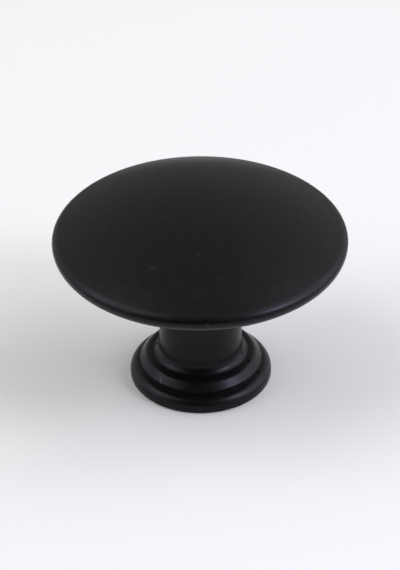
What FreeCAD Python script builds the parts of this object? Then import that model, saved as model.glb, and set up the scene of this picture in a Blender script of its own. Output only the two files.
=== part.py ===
"""Mushroom-shaped cabinet knob, a single die-cast zinc piece with a tapped hole in its foot.

A shallow domed head with a rounded rim stands on a short round neck. A small hollow flare joins
the neck to a narrow ledge, and a bead with a sloping face falls from the ledge to a wider flange.
The underside of the foot is cored with a shallow ring, which leaves a narrow seating land outside
and a screw boss inside. One half-section is drawn in the plane Y = 0 as (radius, height) and
turned about the Z axis.

Millimetres, +Z up. The origin is the centre of the mounting face, which lies on Z = 0, and the
knob's axis runs along +Z towards the crown of the head.
"""

import FreeCAD
import Part

import math
import os

# Head
HEAD_DIAMETER = 32.0
PROJECTION = 21.8  # mounting face to the crown of the dome
CROWN_RISE = 4.0  # widest line of the head to the crown
SHOULDER_RADIUS = 1.4  # easing between the dome and the rim
RIM_UPPER_RADIUS = 0.7  # rounding above the widest line
RIM_LOWER_RADIUS = 1.15  # rounding below the widest line
UNDER_RIM_RADIUS = 1.3  # easing between the rim and the underside
RIM_TURN = 40.0  # degrees each way from the widest line to where the rim's roundings end
UNDERSIDE_SLOPE = 6.0  # degrees that the underside falls towards the neck
COVE_RADIUS = 4.5  # hollow between the underside and the neck

# Neck, and the flare at its foot
NECK_DIAMETER = 9.1
FLARE_SLOPE = 36.0  # degrees that the flare falls outwards at its end
FLARE_RADIUS = 1.15  # hollow where the neck turns into the flare
LEDGE_DIAMETER = 10.4  # where the flare's slope would meet the ledge
LEDGE_RADIUS = 0.4  # hollow between the flare and the ledge

# Bead, the upper step of the foot
BEAD_TOP = 3.08
BEAD_CREST_DIAMETER = 11.94  # where the ledge and the bead's sloping face would meet
BEAD_CREST_RADIUS = 0.8
BEAD_DIAMETER = 13.44
BEAD_EDGE_RISE = 0.45  # flange to the bead's lower edge
BEAD_EDGE_RADIUS = 0.08
BEAD_TUCK = 0.04  # the wall under that edge leans in by this much

# Flange, the lower step of the foot
FLANGE_DIAMETER = 15.66
FLANGE_THICKNESS = 1.76  # at the bead
FLANGE_FALL = 0.2  # fall of the flange's top from the bead to the rounding's corner
FLANGE_RADIUS = 1.1
FOOT_RADIUS = 0.3  # rounding at the mounting face

# Ring cored out of the underside of the foot
CORE_OUTER_DIAMETER = 12.0
CORE_DEPTH = 1.2
CORE_DRAFT = 5.0  # degrees on both walls of the ring
CORE_RADIUS = 0.3
BOSS_DIAMETER = 6.4
BOSS_SETBACK = 0.2  # the screw boss stops this far short of the mounting face

# Screw hole, tapped M4 x 0.7 and drawn at its tapping-drill size
HOLE_DIAMETER = 3.3
HOLE_DEPTH = 12.0  # mounting face to the end of the full-size hole
DRILL_POINT_ANGLE = 118.0
COUNTERSINK_DIAMETER = 4.4
COUNTERSINK_ANGLE = 90.0


def point(radius, height):
    """A point of the half-section."""
    return FreeCAD.Vector(radius, 0.0, height)


def aim(degrees):
    """Unit direction in the half-section, at an angle above the outward horizontal."""
    return point(math.cos(math.radians(degrees)), math.sin(math.radians(degrees)))


def arc(start, end, centre):
    """The shorter arc from start to end about centre."""
    radius = (start - centre).Length
    middle = (start + end) * 0.5 - centre
    return Part.Arc(start, centre + middle * (radius / middle.Length), end).toShape()


def line(start, end):
    return Part.LineSegment(start, end).toShape()


def rounded_path(corners):
    """Edges through corners, each given as (radius, height, rounding), with each corner rounded.

    Where the roundings at the two ends of a side need more than its length, both shrink to fit.
    """
    spots = [point(radius, height) for radius, height, _ in corners]
    last = len(spots) - 1
    lengths = [(spots[i + 1] - spots[i]).Length for i in range(last)]
    half_angles = [math.pi / 2] * len(spots)
    setbacks = [0.0] * len(spots)
    for i in range(1, last):
        half_angles[i] = (spots[i - 1] - spots[i]).getAngle(spots[i + 1] - spots[i]) / 2
        setbacks[i] = corners[i][2] / math.tan(half_angles[i])
    share = [1.0] * len(spots)
    for i in range(last):
        need = setbacks[i] + setbacks[i + 1]
        if need > 0.98 * lengths[i]:
            share[i] = min(share[i], 0.98 * lengths[i] / need)
            share[i + 1] = min(share[i + 1], 0.98 * lengths[i] / need)

    edges = []
    reached = spots[0]
    for i in range(1, last):
        if setbacks[i] <= 0:
            edges.append(line(reached, spots[i]))
            reached = spots[i]
            continue
        back = (spots[i - 1] - spots[i]).normalize()
        ahead = (spots[i + 1] - spots[i]).normalize()
        setback = setbacks[i] * share[i]
        rounding = setback * math.tan(half_angles[i])
        start = spots[i] + back * setback
        end = spots[i] + ahead * setback
        centre = spots[i] + (back + ahead).normalize() * (rounding / math.sin(half_angles[i]))
        edges.append(line(reached, start))
        edges.append(arc(start, end, centre))
        reached = end
    edges.append(line(reached, spots[-1]))
    return edges


def head_edges():
    """The dome, the rim and the underside, from the crown to the end of the cove on the neck."""
    head_radius = HEAD_DIAMETER / 2
    neck_radius = NECK_DIAMETER / 2
    crown = point(0.0, PROJECTION)
    widest = point(head_radius, PROJECTION - CROWN_RISE)

    # The dome's arc is centred on the axis and runs smoothly into the shoulder and the rim.
    upper_centre = widest - point(RIM_UPPER_RADIUS, 0.0)
    upper_end = upper_centre + aim(RIM_TURN) * RIM_UPPER_RADIUS
    shoulder_centre = upper_end - aim(RIM_TURN) * SHOULDER_RADIUS
    rise = crown.z - shoulder_centre.z
    reach = shoulder_centre.x
    dome_radius = (reach**2 + rise**2 - SHOULDER_RADIUS**2) / (2 * (rise - SHOULDER_RADIUS))
    dome_centre = crown - point(0.0, dome_radius)
    dome_end = dome_centre + (shoulder_centre - dome_centre).normalize() * dome_radius

    # The underside leaves the rim as a cone, and the cove joins the cone to the neck.
    lower_centre = widest - point(RIM_LOWER_RADIUS, 0.0)
    lower_end = lower_centre + aim(-RIM_TURN) * RIM_LOWER_RADIUS
    under_centre = lower_end - aim(-RIM_TURN) * UNDER_RIM_RADIUS
    down = aim(UNDERSIDE_SLOPE - 90.0)
    under_rim = under_centre + down * UNDER_RIM_RADIUS
    cove_axis = neck_radius + COVE_RADIUS
    drop = (COVE_RADIUS - (cove_axis - under_rim.x) * down.x) / down.z
    cove_centre = point(cove_axis, under_rim.z + drop)
    cove_top = cove_centre - down * COVE_RADIUS
    cove_foot = point(neck_radius, cove_centre.z)

    return [
        arc(crown, dome_end, dome_centre),
        arc(dome_end, upper_end, shoulder_centre),
        arc(upper_end, widest, upper_centre),
        arc(widest, lower_end, lower_centre),
        arc(lower_end, under_rim, under_centre),
        line(under_rim, cove_top),
        arc(cove_top, cove_foot, cove_centre),
    ]


def foot_edges(neck_start):
    """The neck, the flare, the bead, the flange and the underside, from the cove to the axis."""
    neck_radius = NECK_DIAMETER / 2
    ledge_radius = LEDGE_DIAMETER / 2
    bead_radius = BEAD_DIAMETER / 2
    flange_radius = FLANGE_DIAMETER / 2
    flare_drop = (ledge_radius - neck_radius) * math.tan(math.radians(FLARE_SLOPE))

    core_outer = CORE_OUTER_DIAMETER / 2
    boss_radius = BOSS_DIAMETER / 2
    lean = math.tan(math.radians(CORE_DRAFT))
    hole_radius = HOLE_DIAMETER / 2
    sink_radius = COUNTERSINK_DIAMETER / 2
    sink_depth = (sink_radius - hole_radius) / math.tan(math.radians(COUNTERSINK_ANGLE / 2))
    point_depth = hole_radius / math.tan(math.radians(DRILL_POINT_ANGLE / 2))

    return rounded_path(
        [
            (neck_radius, neck_start, 0.0),
            (neck_radius, BEAD_TOP + flare_drop, FLARE_RADIUS),
            (ledge_radius, BEAD_TOP, LEDGE_RADIUS),
            (BEAD_CREST_DIAMETER / 2, BEAD_TOP, BEAD_CREST_RADIUS),
            (bead_radius, FLANGE_THICKNESS + BEAD_EDGE_RISE, BEAD_EDGE_RADIUS),
            (bead_radius - BEAD_TUCK, FLANGE_THICKNESS, 0.0),
            (flange_radius, FLANGE_THICKNESS - FLANGE_FALL, FLANGE_RADIUS),
            (flange_radius, 0.0, FOOT_RADIUS),
            (core_outer, 0.0, 0.0),
            (core_outer - CORE_DEPTH * lean, CORE_DEPTH, CORE_RADIUS),
            (boss_radius + (CORE_DEPTH - BOSS_SETBACK) * lean, CORE_DEPTH, CORE_RADIUS),
            (boss_radius, BOSS_SETBACK, 0.0),
            (sink_radius, BOSS_SETBACK, 0.0),
            (hole_radius, BOSS_SETBACK + sink_depth, 0.0),
            (hole_radius, HOLE_DEPTH, 0.0),
            (0.0, HOLE_DEPTH + point_depth, 0.0),
        ]
    )


def knob():
    """The half-section closed along the axis and turned through a full circle."""
    head = head_edges()
    cove_foot = head[-1].Vertexes[-1].Point
    foot = foot_edges(cove_foot.z)
    hole_end = foot[-1].Vertexes[-1].Point
    axis = line(hole_end, point(0.0, PROJECTION))
    outline = Part.Wire(Part.__sortEdges__(head + foot + [axis]))
    return Part.Face(outline).revolve(FreeCAD.Vector(), FreeCAD.Vector(0, 0, 1), 360)


def main():
    os.makedirs("parts", exist_ok=True)
    body = knob()
    if not body.isValid() or len(body.Solids) != 1:
        raise SystemExit("the knob is not one valid solid")
    body.Solids[0].exportStep("parts/knob.step")
    print(f"knob: {body.Volume:.1f} mm3, {len(body.Faces)} faces, {body.BoundBox}")


main()
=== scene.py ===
"""The cabinet knob as it looks in the photograph: one turned casting with a matte black coat.

The piece is a fine mesh of the same half-section as the solid, turned about the Z axis, with the
M4 thread cut in its screw hole. Sizes are in millimetres and become metres in the scene. Angles
are in degrees.
"""

import math

import bpy
from mathutils import Matrix, Vector


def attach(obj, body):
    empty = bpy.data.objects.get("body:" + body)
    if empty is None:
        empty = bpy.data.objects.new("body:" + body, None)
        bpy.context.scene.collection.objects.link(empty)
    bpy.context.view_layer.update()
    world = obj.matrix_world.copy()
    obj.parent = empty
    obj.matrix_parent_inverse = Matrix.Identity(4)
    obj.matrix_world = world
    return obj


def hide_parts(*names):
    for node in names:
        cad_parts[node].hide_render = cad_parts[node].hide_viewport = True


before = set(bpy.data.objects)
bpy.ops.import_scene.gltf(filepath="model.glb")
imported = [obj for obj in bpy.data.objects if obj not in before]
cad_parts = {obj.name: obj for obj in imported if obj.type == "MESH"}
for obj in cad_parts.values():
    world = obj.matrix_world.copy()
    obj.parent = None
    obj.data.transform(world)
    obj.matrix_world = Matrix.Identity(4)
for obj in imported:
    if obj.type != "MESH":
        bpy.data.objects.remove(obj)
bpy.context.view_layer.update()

MM = 0.001

# Head
HEAD_RADIUS = 16.0
PROJECTION = 21.8  # mounting face to the crown of the dome
CROWN_RISE = 4.0  # widest line of the head to the crown
SHOULDER_RADIUS = 1.4  # easing between the dome and the rim
RIM_UPPER_RADIUS = 0.7  # rounding above the widest line
RIM_LOWER_RADIUS = 1.15  # rounding below the widest line
UNDER_RIM_RADIUS = 1.3  # easing between the rim and the underside
RIM_TURN = 40.0  # each way from the widest line to where the rim's roundings end
UNDERSIDE_SLOPE = 6.0  # fall of the underside towards the neck
COVE_RADIUS = 4.5  # hollow between the underside and the neck

# Neck, flare and ledge
NECK_RADIUS = 4.55
FLARE_SLOPE = 36.0
FLARE_RADIUS = 1.15  # hollow where the neck turns into the flare
LEDGE_RADIUS = 5.2  # where the flare's slope would meet the ledge
LEDGE_ROUNDING = 0.4

# Bead and flange, the two steps of the foot
BEAD_TOP = 3.08
BEAD_CREST_RADIUS = 5.97  # where the ledge and the bead's sloping face would meet
BEAD_CREST_ROUNDING = 0.8
BEAD_RADIUS = 6.72
BEAD_EDGE_RISE = 0.45  # flange to the bead's lower edge
BEAD_EDGE_ROUNDING = 0.08
BEAD_TUCK = 0.04  # the wall under that edge leans in by this much
FLANGE_RADIUS = 7.83
FLANGE_THICKNESS = 1.76  # at the bead
FLANGE_FALL = 0.2  # fall of the flange's top from the bead to the rounding's corner
FLANGE_ROUNDING = 1.1
FOOT_ROUNDING = 0.3

# Ring cored out of the underside, and the screw hole
CORE_RADIUS = 6.0
CORE_DEPTH = 1.2
CORE_DRAFT = 5.0
CORE_ROUNDING = 0.3
BOSS_RADIUS = 3.2
BOSS_SETBACK = 0.2
SINK_RADIUS = 2.2
HOLE_RADIUS = 1.65
HOLE_DEPTH = 12.0
DRILL_POINT_ANGLE = 118.0

# Thread, M4 x 0.7
THREAD_PITCH = 0.7
THREAD_MAJOR_RADIUS = 2.0
THREAD_ANGLE = 60.0
THREAD_END = 10.5  # height at which the thread has run out
THREAD_ROWS = 12  # rings of the mesh in one turn of the thread

# Columns of the mesh around the axis, and its longest steps along the section
COLUMNS = 256
HOLE_COLUMNS = 80
DOME_STEP = 0.3
SHOULDER_STEP = 0.08
RIM_UPPER_STEP = 0.06
RIM_LOWER_STEP = 0.08
UNDER_RIM_STEP = 0.1
UNDERSIDE_STEP = 0.4
COVE_STEP = 0.25
FOOT_STEP = 0.25
ROUNDING_STEP = 0.1
ROUNDING_SHARE = 0.25  # a step is at most this share of a foot rounding's radius
GUARD_STEP = 0.012  # first and last step of a straight run
SIDE_SHARE = 0.98  # the roundings at a side's ends take at most this share of it

# Coat
COAT_SHADE = 0.0042
COAT_ROUGHNESS = 0.31
COAT_IOR = 1.28
COAT_TINT = (0.91, 0.915, 1.0, 1.0)
COAT_SHINE = 0.5  # specular level, which is taken away in the painted shade of the pits
METAL_COLOUR = (0.5, 0.5, 0.52, 1.0)
DUST_AND_HIGHLIGHT_GREY = 0.022
DUST_AND_HIGHLIGHT_ROUGHNESS = 0.3  # added where there is dust or the painted highlight
SCRATCH_SHADE = 0.07
# Grey of the painted shade in the pits
PAINTED_PIT_SHADE = 0.0005
GREY_BLUE = 1.02  # blue of the coat's greys, as a share of their red and green

# Noises in the coat, as (scale per metre, detail), and the range that their values fill
GRAIN_NOISE = (2600.0, 3.0)
MOTTLE_NOISE = (1500.0, 2.0)
CLOUD_NOISE = (120.0, 3.0)
NOISE_LOW = 0.3
NOISE_HIGH = 0.7
GRAIN_STRENGTH = 0.12
GRAIN_HEIGHT = 0.02
MOTTLE_SPREAD = 0.25  # share by which the shade varies each way
CLOUD_SPREAD = 0.02  # roughness varies by this much each way

# The screw hole is bare inside the first radius and below the first height
BARE_RADIUS = 2.03
COATED_RADIUS = 2.09
BARE_HEIGHT = 14.0
COATED_HEIGHT = 15.0

# Marks on the coat, as (x, y, z, size, strength), each at full strength near its middle. The light
# marks are dust, a scratch and a painted highlight on a dent in the rim; the dark marks are painted
# shade in small pits and in that dent.
MARK_CORE = 0.3
# Light dust specks, and a painted highlight on the edge of a small dent in the rim
DUST_AND_HIGHLIGHT_SPOTS = [
    (-5.1, -9.0, 20.38, 0.24, 0.45),
    (-4.85, -9.07, 20.4, 0.26, 0.55),
    (-4.6, -9.18, 20.42, 0.22, 0.45),
    (-0.13, -7.61, 21.04, 0.2, 0.7),
    (-1.23, -8.37, 20.86, 0.18, 0.3),
    (-1.96, -7.15, 21.08, 0.14, 0.25),
    (-5.1, -11.37, 19.74, 0.15, 0.25),
    (-0.56, -12.52, 19.71, 0.13, 0.25),
    (1.87, -9.57, 20.55, 0.14, 0.2),
    (-1.91, -5.73, 21.32, 0.13, 0.2),
    (-7.73, -10.02, 19.67, 0.16, 0.25),
    (4.08, -11.1, 19.95, 0.15, 0.2),
    (-10.57, -10.3, 18.87, 0.35, 0.2),
    (-10.56, -10.7, 18.75, 0.35, 0.2),
    # Painted highlight on the edge of a small dent in the rim's lower left
    (-5.98, -14.38, 18.53, 0.26, 0.5),
    (0.71, -15.98, 17.88, 0.28, 1.0),
    (-6.68, 2.09, 1.7, 0.15, 0.8),
    (6.18, -3.3, 1.7, 0.15, 0.9),
    (-7.54, -0.97, 1.3, 0.15, 0.6),
]
SCRATCH = [
    (-4.44, -4.49, 2.67, 0.16, 0.5),
    (-4.43, -4.63, 2.57, 0.16, 0.8),
    (-4.41, -4.77, 2.47, 0.18, 1.0),
    (-4.4, -4.91, 2.36, 0.16, 0.8),
    (-4.38, -5.04, 2.26, 0.16, 0.6),
    (-4.36, -5.07, 1.87, 0.14, 0.5),
]
# Dark spots without specular: painted shade in small pits of the coat and in a dent in the rim
PAINTED_PIT_SPOTS = [
    (-4.86, 0.8, 3.29, 0.32, 1.0),
    (4.54, -1.15, 3.61, 0.22, 0.8),
    (4.55, -1.42, 3.46, 0.22, 0.8),
    (5.24, -2.24, 3.07, 0.26, 0.9),
    (6.39, -2.5, 1.73, 0.26, 0.9),
    # Painted shade in that dent in the rim's lower left
    (-5.68, -14.6, 18.38, 0.22, 0.4),
    (11.03, 8.04, 19.31, 0.3, 0.3),
    (1.6, -8.9, 20.73, 0.2, 0.3),
    (5.5, -10.93, 19.81, 0.2, 0.3),
]

# Camera. Its aim point is on the axis, and its place in the frame is in pixels from the centre.
VIEW_ELEVATION = 34.864
VIEW_ROLL = -0.395
VIEW_DISTANCE = 310.5
AIM_HEIGHT = 13.0
AIM_RIGHT = 0.32
AIM_UP = 9.43
FOCAL_PIXELS = 2850.8
FRAME_HEIGHT = 570.0
SENSOR_WIDTH = 36.0

# Floor, pale out to one distance from a point on it and darker beyond another. The darker floor
# beyond is painted shade, which keeps the far floor dim in the knob's reflections.
FLOOR_HALF = 1200.0
FLOOR_COLOUR = (0.87, 0.88, 0.84, 1.0)
FLOOR_PAINTED_SHADE = (0.15, 0.15, 0.15, 1.0)
FLOOR_CENTRE = 16.0  # how far behind the knob's axis that point is
FLOOR_PALE = 64.0
FLOOR_DARK = 160.0

# Lamps, as (name, azimuth, elevation, half of the angle it fills, radiance, colour). Azimuth 0 is
# +X, and 270 is the camera's side.
LAMPS = [
    ("key_right", 335.3, 37.7, 10.2, 7.4, (0.86, 0.93, 1.21)),
    ("soft_right", 359.1, 40.6, 29.7, 1.07, (1.01, 0.92, 1.07)),
    ("soft_left", 188.6, 51.9, 22.9, 1.63, (1.02, 0.985, 0.995)),
    ("low_left", 188.0, 31.0, 10.0, 1.1, (0.97, 0.92, 1.11)),
]
LAMP_DISTANCE = 600.0
LAMP_AIM_HEIGHT = 10.0

# The room's light as radiance: an even part, and parts that grow in one direction or more
WORLD_BASE = 0.038
WORLD_RIGHT = 0.157
WORLD_BACK = 0.26
WORLD_TOP = 0.41
WORLD_SIDES = 1.374
WORLD_MIDDLE_COLOUR = (1.03, 1.0, 0.96, 1.0)
WORLD_SIDES_COLOUR = (0.96, 0.95, 1.1, 1.0)


def arc(start, end, centre, step):
    """Points along the shorter arc from start to end about centre, without the start itself."""
    first = math.atan2(start[1] - centre[1], start[0] - centre[0])
    last = math.atan2(end[1] - centre[1], end[0] - centre[0])
    turn = (last - first + math.pi) % (2 * math.pi) - math.pi
    radius = math.dist(start, centre)
    count = max(3, math.ceil(abs(turn) * radius / step))
    points = []
    for i in range(1, count + 1):
        angle = first + turn * i / count
        points.append((centre[0] + radius * math.cos(angle), centre[1] + radius * math.sin(angle)))
    return points


def run(start, end, step):
    """Points along a straight run from start to end, without the start itself.

    The first and last steps are very short, so that smooth shading turns only at the run's ends.
    """
    length = math.dist(start, end)
    count = max(1, math.ceil(length / step))
    shares = [i / count for i in range(1, count + 1)]
    if length > 4 * GUARD_STEP:
        shares = sorted(shares + [GUARD_STEP / length, 1 - GUARD_STEP / length])
    points = []
    for t in shares:
        points.append((start[0] + (end[0] - start[0]) * t, start[1] + (end[1] - start[1]) * t))
    return points


def rounded_path(corners):
    """Points through corners, each given as (radius, height, rounding), with each corner rounded.

    Where the roundings at the two ends of a side need more than its length, both shrink to fit.
    """
    spots = [Vector(corner[:2]) for corner in corners]
    last = len(corners) - 1
    lengths = [(spots[i + 1] - spots[i]).length for i in range(last)]
    half_angles = [0.0] * len(corners)
    setbacks = [0.0] * len(corners)
    for i in range(1, last):
        back = spots[i - 1] - spots[i]
        ahead = spots[i + 1] - spots[i]
        half_angles[i] = back.angle(ahead) / 2
        setbacks[i] = corners[i][2] / math.tan(half_angles[i])
    fit = [1.0] * len(corners)
    for i in range(last):
        need = setbacks[i] + setbacks[i + 1]
        room = SIDE_SHARE * lengths[i]
        if need > room:
            fit[i] = min(fit[i], room / need)
            fit[i + 1] = min(fit[i + 1], room / need)

    points = []
    reached = spots[0]
    for i in range(1, last):
        back = (spots[i - 1] - spots[i]).normalized()
        ahead = (spots[i + 1] - spots[i]).normalized()
        setback = setbacks[i] * fit[i]
        rounding = setback * math.tan(half_angles[i])
        start = spots[i] + back * setback
        end = spots[i] + ahead * setback
        points += run(reached, start, FOOT_STEP)
        if rounding > 0:
            middle = (back + ahead).normalized()
            centre = spots[i] + middle * (rounding / math.sin(half_angles[i]))
            points += arc(start, end, centre, min(ROUNDING_STEP, rounding * ROUNDING_SHARE))
        reached = end
    return points + run(reached, spots[-1], FOOT_STEP)


def head_section():
    """The dome, the rim, the underside and the cove, from the crown down to the neck."""
    crown = Vector((0.0, PROJECTION))
    widest = Vector((HEAD_RADIUS, PROJECTION - CROWN_RISE))
    turn = math.radians(RIM_TURN)

    # The dome's arc is centred on the axis and runs smoothly into the shoulder and the rim.
    outward = Vector((math.cos(turn), math.sin(turn)))
    upper_centre = widest - Vector((RIM_UPPER_RADIUS, 0.0))
    upper_meet = upper_centre + outward * RIM_UPPER_RADIUS
    shoulder_centre = upper_meet - outward * SHOULDER_RADIUS
    rise = crown.y - shoulder_centre.y
    reach = shoulder_centre.x
    dome_radius = (reach**2 + rise**2 - SHOULDER_RADIUS**2) / (2 * (rise - SHOULDER_RADIUS))
    dome_centre = crown - Vector((0.0, dome_radius))
    dome_end = dome_centre + (shoulder_centre - dome_centre).normalized() * dome_radius

    # The underside leaves the rim as a cone, and the cove joins the cone to the neck.
    outward = Vector((math.cos(turn), -math.sin(turn)))
    lower_centre = widest - Vector((RIM_LOWER_RADIUS, 0.0))
    lower_meet = lower_centre + outward * RIM_LOWER_RADIUS
    under_centre = lower_meet - outward * UNDER_RIM_RADIUS
    slope = math.radians(UNDERSIDE_SLOPE)
    down = Vector((math.sin(slope), -math.cos(slope)))
    under_rim = under_centre + down * UNDER_RIM_RADIUS
    cove_axis = NECK_RADIUS + COVE_RADIUS
    drop = (COVE_RADIUS - (cove_axis - under_rim.x) * down.x) / down.y
    cove_centre = Vector((cove_axis, under_rim.y + drop))
    cove_top = cove_centre - down * COVE_RADIUS
    cove_foot = Vector((NECK_RADIUS, cove_centre.y))

    points = arc(crown, dome_end, dome_centre, DOME_STEP)
    points += arc(dome_end, upper_meet, shoulder_centre, SHOULDER_STEP)
    points += arc(upper_meet, widest, upper_centre, RIM_UPPER_STEP)
    points += arc(widest, lower_meet, lower_centre, RIM_LOWER_STEP)
    points += arc(lower_meet, under_rim, under_centre, UNDER_RIM_STEP)
    points += run(under_rim, cove_top, UNDERSIDE_STEP)
    points += arc(cove_top, cove_foot, cove_centre, COVE_STEP)
    return points


def foot_section(start):
    """The neck, the flare, the bead, the flange and the underside, down to the countersink."""
    flare_drop = (LEDGE_RADIUS - NECK_RADIUS) * math.tan(math.radians(FLARE_SLOPE))
    lean = math.tan(math.radians(CORE_DRAFT))
    return rounded_path(
        [
            (start[0], start[1], 0.0),
            (NECK_RADIUS, BEAD_TOP + flare_drop, FLARE_RADIUS),
            (LEDGE_RADIUS, BEAD_TOP, LEDGE_ROUNDING),
            (BEAD_CREST_RADIUS, BEAD_TOP, BEAD_CREST_ROUNDING),
            (BEAD_RADIUS, FLANGE_THICKNESS + BEAD_EDGE_RISE, BEAD_EDGE_ROUNDING),
            (BEAD_RADIUS - BEAD_TUCK, FLANGE_THICKNESS, 0.0),
            (FLANGE_RADIUS, FLANGE_THICKNESS - FLANGE_FALL, FLANGE_ROUNDING),
            (FLANGE_RADIUS, 0.0, FOOT_ROUNDING),
            (CORE_RADIUS, 0.0, 0.0),
            (CORE_RADIUS - CORE_DEPTH * lean, CORE_DEPTH, CORE_ROUNDING),
            (BOSS_RADIUS + (CORE_DEPTH - BOSS_SETBACK) * lean, CORE_DEPTH, CORE_ROUNDING),
            (BOSS_RADIUS, BOSS_SETBACK, 0.0),
            (SINK_RADIUS, BOSS_SETBACK, 0.0),
        ]
    )


def ring(vertices, radii, height):
    """Adds vertices evenly around the axis, one for each radius, and returns their numbers."""
    first = len(vertices)
    for i, radius in enumerate(radii):
        angle = 2 * math.pi * i / len(radii)
        x = radius * math.cos(angle) * MM
        y = radius * math.sin(angle) * MM
        vertices.append((x, y, height * MM))
    return list(range(first, len(vertices)))


def bridge(upper, lower):
    """Faces between two rings of any sizes, or between a ring and a single vertex."""
    m = len(upper)
    n = len(lower)
    if m == 1:
        return [(upper[0], lower[i], lower[(i + 1) % n]) for i in range(n)]
    if n == 1:
        return [(upper[i], lower[0], upper[(i + 1) % m]) for i in range(m)]
    if m == n:
        return [(upper[i], lower[i], lower[(i + 1) % n], upper[(i + 1) % m]) for i in range(n)]
    faces = []
    i = 0
    j = 0
    while i < m or j < n:
        a = upper[i % m]
        b = lower[j % n]
        if j >= n or (i < m and (i + 1) / m <= (j + 1) / n):
            faces.append((a, b, upper[(i + 1) % m]))
            i += 1
        else:
            faces.append((a, b, lower[(j + 1) % n]))
            j += 1
    return faces


def thread_radius(angle, height):
    """Radius of the tapped wall at a place: a groove that winds up the hole and then runs out."""
    depth = THREAD_MAJOR_RADIUS - HOLE_RADIUS
    flank = math.tan(math.radians(THREAD_ANGLE / 2))
    half_flat = THREAD_PITCH / 16  # half the width of the groove's flat bottom
    phase = (height / THREAD_PITCH - angle / (2 * math.pi)) % 1.0
    from_bottom = abs(phase - 0.5) * THREAD_PITCH
    groove = min(max(depth + (half_flat - from_bottom) / flank, 0.0), depth)
    fade = min(max((THREAD_END - height) / THREAD_PITCH, 0.0), 1.0)
    sink = SINK_RADIUS - (height - BOSS_SETBACK)
    return max(HOLE_RADIUS + groove * fade, sink)


def knob_mesh():
    """The section turned through a full circle, with the tapped hole closed by its drill point."""
    vertices = []
    faces = []
    section = head_section()
    section += foot_section(section[-1])
    previous = ring(vertices, [0.0], PROJECTION)
    for radius, height in section:
        current = ring(vertices, [radius] * COLUMNS, height)
        faces += bridge(previous, current)
        previous = current

    angles = [2 * math.pi * i / HOLE_COLUMNS for i in range(HOLE_COLUMNS)]
    rows = math.ceil((HOLE_DEPTH - BOSS_SETBACK) / (THREAD_PITCH / THREAD_ROWS))
    for k in range(1, rows + 1):
        height = BOSS_SETBACK + (HOLE_DEPTH - BOSS_SETBACK) * k / rows
        current = ring(vertices, [thread_radius(angle, height) for angle in angles], height)
        faces += bridge(previous, current)
        previous = current
    point_depth = HOLE_RADIUS / math.tan(math.radians(DRILL_POINT_ANGLE / 2))
    faces += bridge(previous, ring(vertices, [0.0], HOLE_DEPTH + point_depth))

    mesh = bpy.data.meshes.new("knob_cast")
    mesh.from_pydata(vertices, [], faces)
    mesh.validate()
    mesh.shade_smooth()
    return mesh


def add_object(name, data):
    """A new object in the scene."""
    thing = bpy.data.objects.new(name, data)
    bpy.context.scene.collection.objects.link(thing)
    return thing


def link(tree, value, socket):
    """Joins an output to a socket, or sets the socket where the value is a number or a tuple."""
    if isinstance(value, bpy.types.NodeSocket):
        tree.links.new(value, socket)
    else:
        socket.default_value = value


def maths(tree, operation, a, b=0.0):
    """A Math node's output."""
    node = tree.nodes.new("ShaderNodeMath")
    node.operation = operation
    link(tree, a, node.inputs[0])
    link(tree, b, node.inputs[1])
    return node.outputs[0]


def axes(tree, vector):
    """The x, y and z outputs of a place or a direction."""
    node = tree.nodes.new("ShaderNodeSeparateXYZ")
    tree.links.new(vector, node.inputs["Vector"])
    return node.outputs


def spread(tree, value, low, high, new_low, new_high):
    """A smooth Map Range node's output: value from low to high becomes new_low to new_high."""
    node = tree.nodes.new("ShaderNodeMapRange")
    node.interpolation_type = "SMOOTHSTEP"
    link(tree, value, node.inputs["Value"])
    node.inputs["From Min"].default_value = low
    node.inputs["From Max"].default_value = high
    node.inputs["To Min"].default_value = new_low
    node.inputs["To Max"].default_value = new_high
    return node.outputs["Result"]


def noise(tree, place, scale, detail):
    """A Noise Texture node's value."""
    node = tree.nodes.new("ShaderNodeTexNoise")
    tree.links.new(place, node.inputs["Vector"])
    node.inputs["Scale"].default_value = scale
    node.inputs["Detail"].default_value = detail
    return node.outputs["Fac"]


def blend(tree, factor, a, b):
    """A colour Mix node's output. Each colour is a tuple or another node's output."""
    node = tree.nodes.new("ShaderNodeMix")
    node.data_type = "RGBA"
    link(tree, factor, node.inputs["Factor"])
    link(tree, a, node.inputs["A"])
    link(tree, b, node.inputs["B"])
    return node.outputs["Result"]


def near(tree, place, spot, inner, outer):
    """1 within inner millimetres of a spot of the surface, falling to 0 at outer."""
    node = tree.nodes.new("ShaderNodeVectorMath")
    node.operation = "DISTANCE"
    tree.links.new(place, node.inputs[0])
    node.inputs[1].default_value = [v * MM for v in spot]
    return spread(tree, node.outputs["Value"], inner * MM, outer * MM, 1.0, 0.0)


def marks(tree, place, spots):
    """0 to 1 over small spots of the surface, each given as (x, y, z, size, strength)."""
    total = 0.0
    for x, y, z, size, strength in spots:
        spot = near(tree, place, (x, y, z), size * MARK_CORE, size)
        total = maths(tree, "MAXIMUM", total, maths(tree, "MULTIPLY", spot, strength))
    return total


def in_hole(tree, place):
    """1 inside the screw hole, which is tapped after coating, and 0 elsewhere."""
    x, y, z = axes(tree, place)
    square = maths(tree, "ADD", maths(tree, "MULTIPLY", x, x), maths(tree, "MULTIPLY", y, y))
    reach = maths(tree, "SQRT", square)
    inside = spread(tree, reach, BARE_RADIUS * MM, COATED_RADIUS * MM, 1.0, 0.0)
    below = spread(tree, z, BARE_HEIGHT * MM, COATED_HEIGHT * MM, 1.0, 0.0)
    return maths(tree, "MULTIPLY", inside, below)


def grey(value):
    """A grey with a slight lean to blue."""
    return (value, value, value * GREY_BLUE, 1.0)


def new_material(name):
    """A node material, its tree, its shader and the output for a place on the object."""
    material = bpy.data.materials.new(name)
    material.use_nodes = True
    tree = material.node_tree
    place = tree.nodes.new("ShaderNodeTexCoord").outputs["Object"]
    return material, tree, tree.nodes["Principled BSDF"], place


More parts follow.
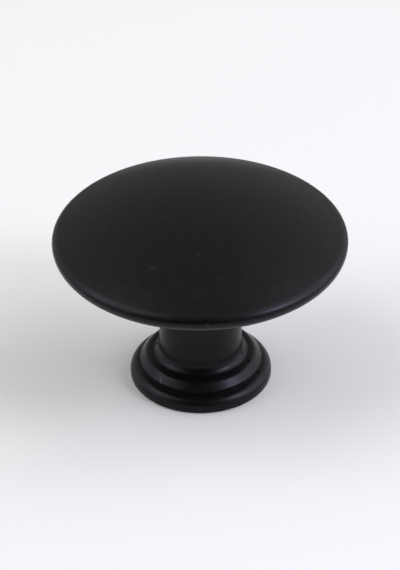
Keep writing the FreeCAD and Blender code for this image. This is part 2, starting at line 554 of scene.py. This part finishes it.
def black_coat():
    """Matte black with a fine grain, mottling, dust, a scratch, painted shade in small pits, a
    painted highlight and painted shade on a dent in the rim, and bare metal in the hole.
    """
    material, tree, shader, place = new_material("black_coat")
    grain = noise(tree, place, *GRAIN_NOISE)
    mottle = noise(tree, place, *MOTTLE_NOISE)
    cloud = noise(tree, place, *CLOUD_NOISE)
    dust_and_highlight = marks(tree, place, DUST_AND_HIGHLIGHT_SPOTS)
    pit_shade_mask = marks(tree, place, PAINTED_PIT_SPOTS)
    scratch = marks(tree, place, SCRATCH)
    bare = in_hole(tree, place)

    bump = tree.nodes.new("ShaderNodeBump")
    bump.inputs["Strength"].default_value = GRAIN_STRENGTH
    bump.inputs["Distance"].default_value = GRAIN_HEIGHT * MM
    tree.links.new(grain, bump.inputs["Height"])
    tree.links.new(bump.outputs["Normal"], shader.inputs["Normal"])

    smoothest = COAT_ROUGHNESS - CLOUD_SPREAD
    roughest = COAT_ROUGHNESS + CLOUD_SPREAD
    rough = spread(tree, cloud, NOISE_LOW, NOISE_HIGH, smoothest, roughest)
    rough = maths(tree, "ADD", rough, maths(tree, "MULTIPLY", dust_and_highlight, DUST_AND_HIGHLIGHT_ROUGHNESS))
    tree.links.new(rough, shader.inputs["Roughness"])

    darkest = grey(COAT_SHADE * (1 - MOTTLE_SPREAD))
    palest = grey(COAT_SHADE * (1 + MOTTLE_SPREAD))
    shade = spread(tree, mottle, NOISE_LOW, NOISE_HIGH, 0.0, 1.0)
    colour = blend(tree, shade, darkest, palest)
    # Dust, and the painted highlight on the rim's dent
    colour = blend(tree, dust_and_highlight, colour, grey(DUST_AND_HIGHLIGHT_GREY))
    colour = blend(tree, scratch, colour, grey(SCRATCH_SHADE))
    # Painted shade in the pits and in the rim's dent
    colour = blend(tree, pit_shade_mask, colour, grey(PAINTED_PIT_SHADE))
    colour = blend(tree, bare, colour, METAL_COLOUR)
    tree.links.new(colour, shader.inputs["Base Color"])

    # The pits lose their specular too, as part of their painted shade
    shine = spread(tree, pit_shade_mask, 0.0, 1.0, COAT_SHINE, 0.0)
    tree.links.new(shine, shader.inputs["Specular IOR Level"])
    tree.links.new(bare, shader.inputs["Metallic"])
    shader.inputs["IOR"].default_value = COAT_IOR
    shader.inputs["Specular Tint"].default_value = COAT_TINT
    return material


def add_camera():
    """The photograph's view: from the front, about 35 degrees up, with a long lens."""
    elevation = math.radians(VIEW_ELEVATION)
    distance = VIEW_DISTANCE * MM
    pixel = distance / FOCAL_PIXELS  # a pixel's width at the aim point
    target = Vector((0.0, 0.0, AIM_HEIGHT * MM))
    right = Vector((1.0, 0.0, 0.0))
    up = Vector((0.0, math.sin(elevation), math.cos(elevation)))
    back = Vector((0.0, -math.cos(elevation), math.sin(elevation)))
    place = target + back * distance
    centre = target - right * (AIM_RIGHT * pixel) - up * (AIM_UP * pixel)
    look = (centre - place).normalized()

    data = bpy.data.cameras.new("camera")
    data.sensor_width = SENSOR_WIDTH
    data.lens = FOCAL_PIXELS * SENSOR_WIDTH / FRAME_HEIGHT
    data.clip_start = 0.01
    data.clip_end = 20.0
    camera = add_object("camera", data)
    roll = Matrix.Rotation(math.radians(VIEW_ROLL), 4, "Z")
    turn = look.to_track_quat("-Z", "Y").to_matrix().to_4x4()
    camera.matrix_world = Matrix.Translation(place) @ turn @ roll
    bpy.context.scene.camera = camera


def add_floor():
    """A floor, nearly white around the knob and with painted shade far from it, with no gloss."""
    half = FLOOR_HALF * MM
    corners = [(-half, -half, 0.0), (half, -half, 0.0), (half, half, 0.0), (-half, half, 0.0)]
    mesh = bpy.data.meshes.new("floor")
    mesh.from_pydata(corners, [], [(0, 1, 2, 3)])
    floor = add_object("floor", mesh)

    material, tree, shader, place = new_material("floor")
    pale = near(tree, place, (0.0, FLOOR_CENTRE, 0.0), FLOOR_PALE, FLOOR_DARK)
    # Painted shade: the floor's colour darkens away from the knob
    colour = blend(tree, pale, FLOOR_PAINTED_SHADE, FLOOR_COLOUR)
    tree.links.new(colour, shader.inputs["Base Color"])
    shader.inputs["Roughness"].default_value = 1.0
    shader.inputs["Specular IOR Level"].default_value = 0.0
    mesh.materials.append(material)


def add_lamp(name, azimuth, elevation, half_angle, radiance, colour):
    """A round soft lamp that faces the knob."""
    a = math.radians(azimuth)
    e = math.radians(elevation)
    direction = Vector((math.cos(e) * math.cos(a), math.cos(e) * math.sin(a), math.sin(e)))
    distance = LAMP_DISTANCE * MM
    radius = distance * math.tan(math.radians(half_angle))
    data = bpy.data.lights.new(name, "AREA")
    data.shape = "DISK"
    data.size = 2 * radius
    # A disc that sends the same radiance every way gives pi times it from each unit of area.
    data.energy = radiance * math.pi * (math.pi * radius**2)
    data.color = colour
    lamp = add_object(name, data)
    lamp.location = Vector((0.0, 0.0, LAMP_AIM_HEIGHT * MM)) + direction * distance
    lamp.rotation_euler = direction.to_track_quat("Z", "Y").to_euler()


def add_world():
    """A dim room, lighter towards both sides and overhead, and darkest on the camera's side."""
    world = bpy.data.worlds.new("world")
    world.use_nodes = True
    tree = world.node_tree
    x, y, z = axes(tree, tree.nodes.new("ShaderNodeTexCoord").outputs["Generated"])
    sides = maths(tree, "MULTIPLY", x, x)
    upright = maths(tree, "MULTIPLY", z, z)
    parts = [(x, WORLD_RIGHT), (y, WORLD_BACK), (upright, WORLD_TOP), (sides, WORLD_SIDES)]
    level = WORLD_BASE
    for part, strength in parts:
        level = maths(tree, "ADD", maths(tree, "MULTIPLY", part, strength), level)
    level = maths(tree, "MAXIMUM", level, 0.0)
    background = tree.nodes["Background"]
    colour = blend(tree, sides, WORLD_MIDDLE_COLOUR, WORLD_SIDES_COLOUR)
    tree.links.new(colour, background.inputs["Color"])
    tree.links.new(level, background.inputs["Strength"])
    bpy.context.scene.world = world


add_camera()
add_floor()
for lamp in LAMPS:
    add_lamp(*lamp)
add_world()

knob = add_object("knob_cast", knob_mesh())
knob.data.materials.append(black_coat())
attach(knob, "root")
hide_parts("knob")

bpy.context.scene.view_settings.view_transform = "Standard"
